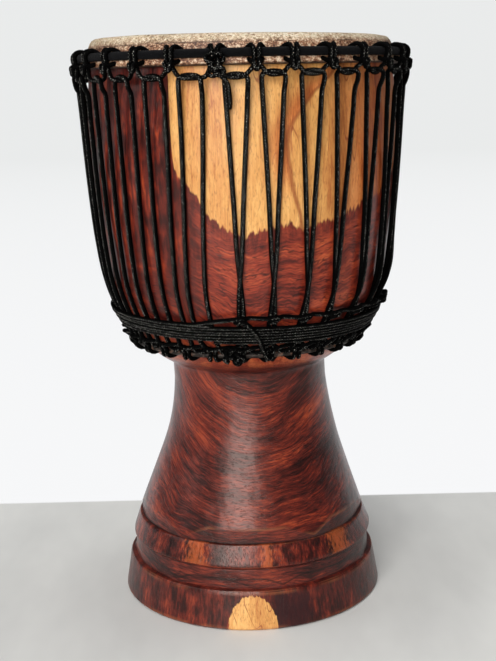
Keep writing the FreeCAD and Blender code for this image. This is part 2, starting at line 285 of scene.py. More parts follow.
def rgba(red, green, blue):
    """A colour given as it looks on a screen, from 0 to 255, in the linear form that nodes take."""
    def linear(value):
        value /= 255
        return value / 12.92 if value <= 0.04045 else ((value + 0.055) / 1.055) ** 2.4
    return (linear(red), linear(green), linear(blue), 1)


# Lowest height of the pale sapwood on the bowl, by angle: the log's outside was left there
SAPWOOD_FROM, SAPWOOD_TO = -40, 110
SAPWOOD_LOW, SAPWOOD_HIGH = 0.40, 0.65
SAPWOOD_EDGE = (
    (-40, 0.65), (-27.5, 0.635), (-25.4, 0.58), (-24.2, 0.50), (-22.6, 0.479), (-19.8, 0.470),
    (-15.3, 0.454), (-12.2, 0.441), (-5, 0.424), (1, 0.419), (8, 0.423), (14, 0.428),
    (22, 0.423), (30, 0.428), (44, 0.438), (60, 0.452), (76, 0.485), (88, 0.55), (98, 0.64),
    (110, 0.65),
)
# Where the sapwood turns from yellow to orange tan, by height
ORANGE_LOW, ORANGE_HIGH = 0.40, 0.62
ORANGE_EDGE = (
    (0.40, 21.0), (0.432, 19.5), (0.475, 15.7), (0.50, 14.8), (0.518, 15.9), (0.55, 24.0),
    (0.575, 34.0), (0.62, 48.0),
)
ORANGE_SPAN = 60
FOOT_PATCHES = ((-27, 7), (7, 3.5), (46, 9))     # orange places on the upper band: angle, half width
# The heights between which each region of the wood fades in, from none to all of it
FOOT_BAND = (0.0425, 0.0405)
UPPER_BAND_LOW, UPPER_BAND_HIGH = (0.0650, 0.0665), (0.0890, 0.0870)
STEM, STEM_GRAIN = (0.285, 0.270), (0.285, 0.268)
UNDERSIDE_LOW, UNDERSIDE_HIGH = (0.268, 0.280), (0.312, 0.296)
BOWL, LEFT_OF_BOWL, FRONT_LINES = (0.29, 0.36), (0.35, 0.42), (0.27, 0.31)
FOOT_FRONT = (-0.12, -0.125)                     # in y


def sum_squares(s, *values):
    total = s.times(values[0], values[0])
    for value in values[1:]:
        total = s.plus(total, s.times(value, value))
    return total


def centred(s, value, size):
    """A noise value from 0 to 1 as one about zero, this many times as large."""
    return s.times(s.minus(value, 0.5), size)


def share_of(s, value, low, high):
    return s.over(s.minus(value, low), high - low)


def sapwood_height(s, angle):
    """How high the sapwood's lower edge is at this angle."""
    up = s.curve(share_of(s, angle, SAPWOOD_FROM, SAPWOOD_TO), [
        ((turn - SAPWOOD_FROM) / (SAPWOOD_TO - SAPWOOD_FROM),
         (height - SAPWOOD_LOW) / (SAPWOOD_HIGH - SAPWOOD_LOW))
        for turn, height in SAPWOOD_EDGE])
    return s.plus(s.times(up, SAPWOOD_HIGH - SAPWOOD_LOW), SAPWOOD_LOW)


def grain_height(s, p, above):
    """Height along the figure: it sags in arcs on the stem and follows the sapwood's edge above."""
    x, _, z = s.split(p)
    across = s.minus(x, 0.012)
    sag = s.plus(s.times(s.minus(z, 0.1), 48), 0.6)
    sag = s.times(s.larger(sag, 0.6), s.times(across, across))
    on_stem = s.minus(z, sag)
    on_bowl = s.plus(s.times(z, 0.45), s.times(above, 0.55))
    return s.choose(s.step(z, *STEM_GRAIN), on_bowl, on_stem)


def heartwood(s, p, angle, above):
    """Brick red with dark wavy lines across, or streaks up the bands and the left of the bowl."""
    x, y, z = s.split(p)
    swirl = s.node("ShaderNodeTexNoise", {
        "Vector": p, "Scale": 9.0, "Detail": 2.0, "Roughness": 0.5}).outputs["Color"]
    swirl_x, swirl_y, swirl_z = s.split(swirl)
    ripple = s.noise(s.stretch(p, (1, 1, 0.4)), 120, 2, 0.55)
    along = s.plus(grain_height(s, p, above), centred(s, swirl_z, 0.045))
    along = s.plus(along, s.times(centred(s, ripple, 0.0075), s.step(z, 0.20, 0.30)))
    bent = s.join(s.plus(x, centred(s, swirl_x, 0.04)),
                  s.plus(y, centred(s, swirl_y, 0.04)), along)
    lines = s.grain(bent, (70, 70, 640), 4, 0.65)
    broad_lines = s.grain(bent, (16, 16, 150), 3, 0.6)
    clouds = s.grain(bent, (11, 11, 30), 3, 0.5)
    streaks = s.grain(p, (360, 360, 34), 4, 0.65, turn=(0.10, 0.05, 0))
    broad_streaks = s.grain(p, (90, 90, 14), 3, 0.6, turn=(0.10, 0.05, 0))
    mottle = s.noise(s.stretch(p, (1, 1, 0.55)), 74, 3, 0.6)

    wandering = s.plus(angle, centred(s, swirl_x, 40))
    high = s.step(z, *BOWL)
    left_bowl = s.times(s.step(wandering, -10, -28), high)
    foot_band = s.step(z, *FOOT_BAND)
    upper_band = s.times(s.step(z, *UPPER_BAND_LOW), s.step(z, *UPPER_BAND_HIGH))
    comb = s.times(s.step(above, -0.022, -0.004), high)
    upright = s.larger(foot_band, upper_band)
    upright = s.larger(upright, s.times(left_bowl, s.step(z, *LEFT_OF_BOWL)))
    upright = s.larger(upright, s.times(comb, 0.7))

    across = s.weigh((lines, 0.38), (broad_lines, 0.22), (clouds, 0.40))
    up = s.weigh((streaks, 0.36), (broad_streaks, 0.26), (mottle, 0.38))
    tone = s.choose(upright, across, up)
    low = s.step(z, *STEM)
    tone = s.minus(tone, s.times(centred(s, tone, 0.24), foot_band))
    brick = s.ramp(tone, (
        (0.39, 44, 14, 12), (0.45, 86, 28, 21), (0.50, 122, 43, 29),
        (0.55, 148, 58, 36), (0.62, 192, 92, 52)))
    plum = s.ramp(tone, (
        (0.39, 20, 7, 8), (0.46, 44, 15, 14), (0.52, 76, 24, 20),
        (0.57, 116, 40, 26), (0.64, 170, 72, 40)))
    brown = s.ramp(tone, (
        (0.38, 18, 6, 7), (0.45, 46, 15, 13), (0.50, 78, 27, 21),
        (0.55, 106, 39, 28), (0.63, 150, 64, 39)))
    colour = s.mix(low, brick, brown)
    dark = s.larger(left_bowl, s.times(s.step(wandering, 46, 80), high))
    dark = s.larger(dark, s.times(comb, 0.6))
    # low down the stem and foot are painted darker towards +X: painted shade on the side away from
    # the window
    dark = s.larger(dark, s.times(s.step(x, 0.01, 0.09), low))
    colour = s.mix(s.times(dark, 0.8), colour, plum)

    # the underside of the bowl is paler, with short upright streaks
    underside = s.times(s.step(z, *UNDERSIDE_LOW), s.step(z, *UNDERSIDE_HIGH))
    streaky = s.ramp(up, (
        (0.41, 104, 36, 24), (0.49, 156, 66, 40), (0.58, 208, 112, 66)))
    colour = s.mix(s.times(underside, 0.7), colour, streaky)

    # thin wavy dark lines on the front of the bowl
    wavy = s.grain(bent, (22, 22, 105), 2, 0.55)
    wavy = s.step(s.size(s.minus(wavy, 0.5)), 0.016, 0.004)
    wavy = s.times(wavy, s.times(s.step(z, *FRONT_LINES), s.minus(1, upright)))
    colour = s.mix(s.times(wavy, 0.75), colour, rgba(46, 14, 14))

    # short dark dashes of the pores, along the lines of the figure
    across_pores = s.grain(bent, (140, 140, 800), 2, 0.5)
    up_pores = s.grain(p, (780, 780, 90), 2, 0.5)
    pores = s.step(s.choose(upright, across_pores, up_pores), 0.56, 0.66)
    colour = s.mix(s.times(pores, 0.55), colour, rgba(20, 7, 7))
    return colour, tone, pores, upper_band, streaks


def sapwood(s, p, angle, height, wander):
    """Straight fine grain, yellow at the front, with orange beside a curved brown line."""
    fibre = s.grain(p, (430, 430, 42), 4, 0.65, turn=(0, 0.05, 0))
    shimmer = s.noise(s.stretch(p, (1, 1, 0.35)), 34, 3, 0.55)
    bands = s.grain(p, (40, 40, 2), 2, 0.5, turn=(0, 0.04, 0))
    tone = s.weigh((fibre, 0.36), (shimmer, 0.24), (bands, 0.40))
    yellow = s.ramp(tone, (
        (0.39, 172, 104, 54), (0.46, 198, 138, 76), (0.51, 208, 152, 86),
        (0.60, 226, 174, 106)))
    orange = s.ramp(tone, (
        (0.39, 120, 50, 22), (0.46, 162, 80, 38), (0.51, 188, 104, 52),
        (0.60, 206, 130, 72)))
    edge = s.times(s.curve(share_of(s, height, ORANGE_LOW, ORANGE_HIGH), [
        ((at - ORANGE_LOW) / (ORANGE_HIGH - ORANGE_LOW), turn / ORANGE_SPAN)
        for at, turn in ORANGE_EDGE]), ORANGE_SPAN)
    past = s.minus(s.plus(angle, centred(s, wander, 2.5)), edge)
    beside = s.times(s.step(past, -9, -1.5), s.step(past, 0.5, 0))
    beside = s.times(beside, s.step(height, 0.44, 0.49))
    right = s.step(s.plus(angle, centred(s, shimmer, 12)), 26, 48)
    colour = s.mix(s.larger(s.times(beside, 0.8), right), yellow, orange)
    line = s.times(s.step(past, -0.9, 0.3), s.step(past, 1.8, 0.6))
    colour = s.mix(s.times(line, 0.75), colour, rgba(132, 62, 30))

    flecks = s.grain(p, (820, 820, 190), 2, 0.5)
    flecks = s.step(flecks, 0.55, 0.66)
    colour = s.mix(s.times(flecks, 0.38), colour, rgba(112, 50, 24))
    crack = s.size(s.minus(s.grain(p, (44, 44, 6), 1, 0.4, turn=(0, 0.09, 0)), 0.5))
    cracks = s.times(s.step(crack, 0.005, 0.001), s.step(wander, 0.44, 0.54))
    colour = s.mix(s.times(cracks, 0.7), colour, rgba(120, 46, 28))
    return colour, cracks


def make_wood():
    """A rosewood-like log: heartwood, with sapwood left at the front of the bowl and foot."""
    s = Shader("shell_wood")
    p = s.position()
    x, y, z = s.split(p)
    angle = s.times(s.math("ARCTAN2", x, s.times(y, -1)), 180 / math.pi)
    ragged = s.grain(p, (230, 230, 30), 3, 0.65)
    wander = s.noise(p, 26, 3, 0.55)

    above = s.minus(z, sapwood_height(s, angle))
    above = s.plus(above, centred(s, wander, 0.016))
    comb_edge = s.plus(above, centred(s, ragged, 0.026))
    heart, figure, pores, upper_band, streaks = heartwood(s, p, angle, above)
    sap, cracks = sapwood(s, p, angle, z, wander)

    on_bowl = s.times(s.step(comb_edge, -0.0015, 0.0015), s.step(angle, 104, 100))
    across = s.over(s.plus(x, 0.0005), 0.0262)
    disc = sum_squares(s, across, s.over(z, 0.0365))
    disc = s.plus(disc, centred(s, ragged, 0.55))
    front = s.step(y, *FOOT_FRONT)
    on_foot = s.times(s.step(disc, 1.05, 0.97), front)
    is_sap = s.larger(on_bowl, on_foot)

    # dark stain beside the foot's pale patch, and orange places on the upper band
    stain = sum_squares(s, s.over(s.minus(x, 0.040), 0.026), s.over(s.minus(z, 0.012), 0.030))
    stain = s.plus(stain, centred(s, ragged, 2.6))
    stain = s.times(s.step(stain, 1.2, 0.4), front)
    heart = s.mix(s.times(stain, 0.85), heart, rgba(40, 15, 20))
    for middle, half_width in FOOT_PATCHES:
        away = s.size(s.minus(angle, middle))
        patch = s.plus(s.over(away, half_width), centred(s, streaks, -3.2))
        patch = s.times(s.step(patch, 1.0, 0.2), upper_band)
        heart = s.mix(s.times(patch, 0.42), heart, rgba(190, 96, 46))

    colour = s.mix(is_sap, heart, sap)
    edge_wear_and_highlight = s.node("ShaderNodeAttribute", attribute_name="edge_wear_and_highlight").outputs["Fac"]
    crease_shade = s.node("ShaderNodeAttribute", attribute_name="crease_shade").outputs["Fac"]
    # lighter along the carved edges: partly wear, partly a painted highlight
    rubbed_and_lit = s.times(edge_wear_and_highlight, s.step(wander, 0.38, 0.62))
    colour = s.mix(s.times(rubbed_and_lit, 0.3), colour, rgba(176, 106, 68))
    # dark in the creases, the recesses and under the lip: painted shade
    colour = s.mix(s.times(crease_shade, 0.85), colour, rgba(14, 6, 6))

    relief = s.plus(s.times(figure, 0.8), s.times(pores, -0.6))
    relief = s.minus(relief, s.times(cracks, is_sap))
    normal = s.bump(s.noise(p, 34, 2, 0.5), 0.004, 0.3)
    normal = s.bump(relief, 0.0005, 0.35, normal)
    gloss = s.plus(s.times(s.noise(p, 60, 3, 0.6), 0.14), 0.24)
    gloss = s.plus(gloss, s.times(is_sap, 0.10))
    return s.finish(Base_Color=colour, Roughness=gloss, Normal=normal, Specular_IOR_Level=0.42,
                    Specular_Tint=(1.0, 0.78, 0.72, 1))


SLOPE = math.radians(33)          # how far the foot of the bowl faces down
SLOPE_HEIGHT = (0.35, 0.33)       # it starts to below the first, and does fully below the second


def make_rope_material():
    """Black polyester braid: diamonds with a painted grey glint in the base colour where the strands
    cross.
    """
    s = Shader("black_braid")
    u, v, _ = s.split(s.node("ShaderNodeTexCoord").outputs["UV"])
    around = s.times(u, SIDES / 2)
    one = s.math("COSINE", s.times(around, 2 * math.pi))
    two = s.math("COSINE", s.times(v, 2 * math.pi))
    braid = s.times(s.times(one, two), -1)
    fuzz = s.noise(s.position(), 900, 2, 0.6)
    # The painted glints are on the side that faces away from the wood, and painted shade makes the
    # gaps between ropes black. Low down the wood slopes in, so that side is turned down.
    x, y, z = s.split(s.position())
    out_x, out_y, out_z = s.split(s.node("ShaderNodeNewGeometry").outputs["Normal"])
    facing = s.plus(s.times(x, out_x), s.times(y, out_y))
    facing = s.over(facing, s.math("SQRT", sum_squares(s, x, y)))
    slope = s.step(z, *SLOPE_HEIGHT)
    turned = s.weigh((facing, math.cos(SLOPE)), (out_z, -math.sin(SLOPE)))
    facing = s.choose(slope, facing, turned)
    gap_shade = s.step(facing, 0.96, 0.66)
    tone = s.plus(s.times(braid, 0.36), fuzz)
    tone = s.minus(tone, s.times(gap_shade, 0.3))
    # the base colour holds painted glints: grey to pale where the braid's tone is high, black
    # elsewhere
    colour = s.ramp(tone, (
        (0.60, 1, 1, 1), (0.74, 8, 8, 8), (0.82, 122, 120, 115),
        (0.94, 206, 204, 196)))
    normal = s.bump(s.plus(braid, fuzz), 0.0005, 0.6)
    return s.finish(Base_Color=colour, Roughness=s.plus(s.times(fuzz, 0.3), 0.45),
                    Normal=normal, Specular_IOR_Level=0.03)


# Where the hide changes: from the top to the side, towards the rim, and down to the painted shade
# under its fold
HIDE_SIDE, HIDE_RIM, HIDE_SHADE_UNDER_FOLD = (0.6055, 0.5985), (0.125, 0.157), (0.5815, 0.5798)
DRIED_LINE = 0.6005


def make_hide():
    """Shaved rawhide: cream on top, brown down the side, with short dark hairs at the rim."""
    s = Shader("rawhide")
    p = s.position()
    x, y, z = s.split(p)
    radius = s.math("SQRT", sum_squares(s, x, y))
    cloud = s.noise(p, 15, 3, 0.55)
    mottle = s.noise(p, 190, 4, 0.75)
    grit = s.noise(s.stretch(p, (1, 1, 1.6)), 420, 3, 0.65)
    rim = s.step(radius, *HIDE_RIM)
    side = s.step(z, *HIDE_SIDE)
    tone = s.weigh((cloud, 0.20), (mottle, 0.36), (grit, 0.44))
    top = s.ramp(tone, (
        (0.40, 96, 70, 50), (0.45, 156, 132, 104), (0.50, 190, 172, 144),
        (0.57, 214, 202, 180)))
    low = s.ramp(tone, (
        (0.42, 56, 28, 18), (0.47, 108, 68, 46), (0.52, 160, 118, 88),
        (0.57, 220, 196, 168)))
    colour = s.mix(side, top, low)
    back_line = s.size(s.plus(x, centred(s, cloud, 0.05)))
    spine = s.times(s.step(back_line, 0.034, 0.004), 0.4)
    spine = s.times(spine, s.step(radius, 0.150, 0.135))
    colour = s.mix(spine, colour, rgba(146, 104, 72))
    sparse = s.noise(p, 46, 2, 0.5)
    limit = s.minus(0.68, s.times(rim, 0.10))
    limit = s.minus(limit, centred(s, sparse, 0.16))
    hairs = s.noise(p, 1150, 2, 0.55)
    stubble = s.step(s.minus(hairs, limit), 0.0, 0.03)
    colour = s.mix(s.times(stubble, 0.75), colour, rgba(62, 38, 26))
    # a thin broken line where the hide dried against the rim
    mark = s.size(s.minus(s.plus(z, centred(s, cloud, 0.004)), DRIED_LINE))
    mark = s.times(s.step(mark, 0.0009, 0.0003), s.step(sparse, 0.44, 0.52))
    colour = s.mix(s.times(mark, 0.7), colour, rgba(58, 34, 24))
    # painted shade: the underside of the fold round the flesh ring is painted near black
    under = s.step(z, *HIDE_SHADE_UNDER_FOLD)
    colour = s.mix(s.times(under, 0.9), colour, rgba(34, 18, 13))
    normal = s.bump(s.plus(mottle, s.times(grit, 0.5)), 0.0012, 0.5)
    rough = s.plus(s.times(mottle, 0.2), 0.42)
    return s.finish(Base_Color=colour, Roughness=rough, Normal=normal, Specular_IOR_Level=0.4,
                    Subsurface_Weight=0.06, Subsurface_Scale=0.003)


CLOTH_THREADS = 6000            # radians of the weave's waves to a metre


def make_cloth():
    """Black cotton strip, a plain weave."""
    s = Shader("black_cloth")
    u, v, _ = s.split(s.node("ShaderNodeTexCoord").outputs["UV"])
    warp = s.math("SINE", s.times(u, CLOTH_THREADS))
    weft = s.math("SINE", s.times(v, CLOTH_THREADS))
    weave = s.times(warp, weft)
    lint = s.noise(s.position(), 900, 3, 0.6)
    colour = s.ramp(s.plus(lint, s.times(weave, 0.06)),
                    ((0.3, 3, 3, 4), (0.6, 9, 9, 11), (0.8, 30, 30, 33)))
    normal = s.bump(s.plus(weave, lint), 0.0003, 0.6)
    return s.finish(Base_Color=colour, Roughness=s.plus(s.times(lint, 0.2), 0.7),
                    Normal=normal, Specular_IOR_Level=0.06, Sheen_Weight=0.02)


def make_steel():
    """Rebar ring, darkened and lightly rusted."""
    s = Shader("dark_steel")
    p = s.position()
    rust = s.noise(p, 160, 4, 0.65)
    colour = s.ramp(rust, ((0.40, 46, 44, 43), (0.55, 66, 58, 53), (0.70, 110, 66, 42)))
    normal = s.bump(s.noise(p, 700, 3, 0.6), 0.0004, 0.5)
    return s.finish(Base_Color=colour, Metallic=s.step(rust, 0.62, 0.50), Normal=normal,
                    Roughness=s.plus(s.times(rust, 0.5), 0.25))


def make_floor_material():
    """Pale matt table top. Past its far edge it reads as a light wall."""
    s = Shader("pale_floor")
    p = s.position()
    y = s.split(p)[1]
    cloud = s.noise(s.stretch(p, (1, 0.4, 1)), 5, 4, 0.6)
    near = s.ramp(cloud, ((0.3, 205, 205, 203), (0.7, 227, 227, 224)))
    s.finish(Base_Color=near, Roughness=0.75, Specular_IOR_Level=0.2)
    far = s.mix(share_of(s, y, 0.24, 8), (0.93, 0.935, 0.945, 1), (*BACKDROP, 1))
    wall = s.node("ShaderNodeEmission", {0: far, 1: 1.0})
    beyond = s.step(y, *FLOOR_EDGE)
    both = s.node("ShaderNodeMixShader", {
        0: beyond, 1: s.surface.outputs[0], 2: wall.outputs[0]})
    s.tree.links.new(both.outputs[0], s.tree.nodes["Material Output"].inputs["Surface"])
    return s.material


# Meshes

def new_piece(name, points, faces, material, uv=None, sharp=None):
    mesh = bpy.data.meshes.new(name)
    mesh.from_pydata([tuple(p) for p in points], [], [tuple(f) for f in faces])
    mesh.materials.append(material)
    mesh.polygons.foreach_set("use_smooth", [True] * len(mesh.polygons))
    if uv is not None:
        layer = mesh.uv_layers.new(name="along")
        layer.data.foreach_set("uv", np.asarray(uv, np.float32).ravel())
    if sharp is not None:
        mesh.set_sharp_from_angle(angle=math.radians(sharp))
    mesh.validate()
    piece = bpy.data.objects.new(name, mesh)
    bpy.context.collection.objects.link(piece)
    return piece


def paint(piece, name, values):
    """Stores one number per vertex for the material to read."""
    layer = piece.data.attributes.new(name, "FLOAT", "POINT")
    layer.data.foreach_set("value", np.asarray(values, dtype=np.float32))


def smooth_line(corners, per_span=14):
    """A smooth line through corners (radius, angle, height), as x, y, z points."""
    corners = np.asarray(corners, float)
    spans = np.linalg.norm(np.diff(place(corners), axis=0), axis=1)
    knots = np.concatenate([[0], np.cumsum(np.sqrt(spans))])
    slopes = np.gradient(corners, knots, axis=0)
    share = np.linspace(0, 1, per_span, endpoint=False)[:, None]
    pieces = []
    for k in range(len(corners) - 1):
        width = knots[k + 1] - knots[k]
        pieces.append(
            (2 * share ** 3 - 3 * share ** 2 + 1) * corners[k]
            + (share ** 3 - 2 * share ** 2 + share) * width * slopes[k]
            + (3 * share ** 2 - 2 * share ** 3) * corners[k + 1]
            + (share ** 3 - share ** 2) * width * slopes[k + 1])
    pieces.append(corners[-1:])
    return place(np.concatenate(pieces))


def even_line(line, step):
    """The same line with points an even step apart."""
    lengths = np.concatenate([[0], np.cumsum(np.linalg.norm(np.diff(line, axis=0), axis=1))])
    at = np.linspace(0, lengths[-1], max(3, round(lengths[-1] / step) + 1))
    return np.column_stack([np.interp(at, lengths, line[:, axis]) for axis in range(3)])


SIDES = 12
BRAID_STEP = 1.35 * MM
BRAID_RELIEF = 0.10              # share of the rope's radius
END_SIZE = 0.7


def side_frames(line):
    """Two directions across the line at each point, carried along it without twisting."""
    along = np.gradient(line, axis=0)
    along /= np.linalg.norm(along, axis=1)[:, None]
    normal = np.array([line[0][0], line[0][1], 0.013])
    normals = []
    for direction in along:
        normal = normal - direction * normal.dot(direction)
        normal /= math.sqrt(normal.dot(normal))
        normals.append(normal)
    normals = np.array(normals)
    return normals, np.cross(along, normals)


def rope_parts(line, radius):
    """Points, faces and UVs of one braided rope along a line."""
    line = even_line(line, BRAID_STEP)
    across, up = side_frames(line)
    rows = len(line)
    turn = np.linspace(0, 2 * math.pi, SIDES, endpoint=False)
    checker = (np.arange(rows)[:, None] + np.arange(SIDES)[None, :]) % 2 * 2 - 1
    reach = radius * (1 + BRAID_RELIEF * checker)
    reach[0] *= END_SIZE
    reach[-1] *= END_SIZE
    points = (line[:, None, :]
              + (reach * np.cos(turn))[:, :, None] * across[:, None, :]
              + (reach * np.sin(turn))[:, :, None] * up[:, None, :]).reshape(-1, 3)
    row = np.repeat(np.arange(rows - 1), SIDES)
    side = np.tile(np.arange(SIDES), rows - 1)
    after = (side + 1) % SIDES
    faces = np.column_stack([row * SIDES + side, row * SIDES + after,
                             (row + 1) * SIDES + after, (row + 1) * SIDES + side])
    u = np.column_stack([side, side + 1, side + 1, side]) / SIDES
    v = np.column_stack([row, row, row + 1, row + 1]) / 2
    uv = np.stack([u, v], axis=-1).reshape(-1, 2)
    caps = [list(range(SIDES))[::-1], list(range((rows - 1) * SIDES, rows * SIDES))]
    return points, [list(face) for face in faces] + caps, np.vstack([uv, np.zeros((2 * SIDES, 2))])


def rope_piece(name, lines, material):
    """One piece made of several ropes, each a (line, radius)."""
    points, faces, uv, total = [], [], [], 0
    for line, radius in lines:
        new_points, new_faces, new_uv = rope_parts(line, radius)
        faces += [[index + total for index in face] for face in new_faces]
        points.append(new_points)
        uv.append(new_uv)
        total += len(new_points)
    piece = new_piece(name, np.vstack(points), faces, material, np.vstack(uv))
    return piece


def arc_through(start, middle, end, count):
    """Points of the arc through three points, without its start."""
    (ax, ay), (bx, by), (cx, cy) = start, middle, end
    d = 2 * (ax * (by - cy) + bx * (cy - ay) + cx * (ay - by))
    ux = ((ax * ax + ay * ay) * (by - cy) + (bx * bx + by * by) * (cy - ay)
          + (cx * cx + cy * cy) * (ay - by)) / d
    uy = ((ax * ax + ay * ay) * (cx - bx) + (bx * bx + by * by) * (ax - cx)
          + (cx * cx + cy * cy) * (bx - ax)) / d
    radius = math.hypot(ax - ux, ay - uy)
    first, mid, last = (math.atan2(p[1] - uy, p[0] - ux) for p in (start, middle, end))
    turn = (last - first) % (2 * math.pi)
    if (mid - first) % (2 * math.pi) > turn:
        turn -= 2 * math.pi
    return [(ux + radius * math.cos(first + turn * k / count),
             uy + radius * math.sin(first + turn * k / count)) for k in range(1, count + 1)]


def grid_faces(columns, rows, joined):
    """Faces of a grid whose last column meets its first, and each face's column and row.
    joined is rows where the last row meets the first too, and otherwise one less."""
    column = np.repeat(np.arange(columns), joined)
    row = np.tile(np.arange(joined), columns)
    next_column = (column + 1) % columns
    next_row = (row + 1) % rows
    faces = np.column_stack([column * rows + row, next_column * rows + row,
                             next_column * rows + next_row, column * rows + next_row])
    return faces.tolist(), column, row


def turned_piece(name, outlines, material, sharp=None, middle=None):
    """A closed piece turned round Z from one outline per angle, in millimetres. The outline's
    ends are joined, or, where middle gives two heights, each is closed at the axis there."""
    outlines = np.asarray(outlines)
    turns, rows = outlines.shape[:2]
    angles = np.linspace(0, 360, turns, endpoint=False)
    points = place(np.column_stack([
        outlines[..., 0].ravel() * MM, np.repeat(angles, rows), outlines[..., 1].ravel() * MM]))
    faces, _, _ = grid_faces(turns, rows, rows if middle is None else rows - 1)
    if middle is not None:
        points = np.vstack([points, [(0, 0, height * MM) for height in middle]])
        for k in range(turns):
            after = (k + 1) % turns
            faces.append([len(points) - 2, after * rows, k * rows])
            faces.append([len(points) - 1, k * rows + rows - 1, after * rows + rows - 1])
    return new_piece(name, points, faces, material, sharp=sharp)


def waves(angle, seed, terms=6, lowest=2):
    """A smooth uneven number round the drum, about -1 to 1."""
    draw = np.random.default_rng(seed)
    total = np.zeros_like(angle, float)
    for k in range(terms):
        total += draw.normal() / (1 + 0.4 * k) * np.sin(
            np.radians(angle) * (lowest + k) + draw.uniform(0, 2 * math.pi))
    return total / 2


# The carved shell

SHELL_TURNS = 344
UPPER_FACETS = (-37, 32, 88, 150, 208, 265)     # corners of the facets over the foot bands
LOWER_FACET_COUNT, LOWER_FACET_START = 7, 14
STEM_ASIDE, STEM_MIDDLE, STEM_REACH = 3.3, 200, 70      # millimetres
RIM_DROP, RIM_TILT = 0.6, 1.6 / 157
CARVE_WAVES = 9
CARVE_DEPTH = 0.09              # millimetres


def facet_rise(angle, corners):
    """How far up its facet a cut reaches at this angle: 0 at the corners, 1 over the middle."""
    rise = np.zeros_like(angle, float)
    for start, end in zip(corners, (*corners[1:], corners[0] + 360)):
        share = (angle - start) % 360 / (end - start)
        inside = (share >= 0) & (share <= 1)
        reach = np.clip((0.5 - np.abs(share - 0.5)) * 4.6, 0, 1)
        rise = np.where(inside, reach, rise)
    return rise


def rim_rise(outlines, angle):
    """How far the top of the drum stands above or under level, in millimetres."""
    near_top = np.clip((outlines[..., 1] - 588) / 14, 0, 1)
    across = outlines[..., 0] * np.sin(np.radians(angle))[:, None]
    return (-RIM_DROP - RIM_TILT * across) * near_top


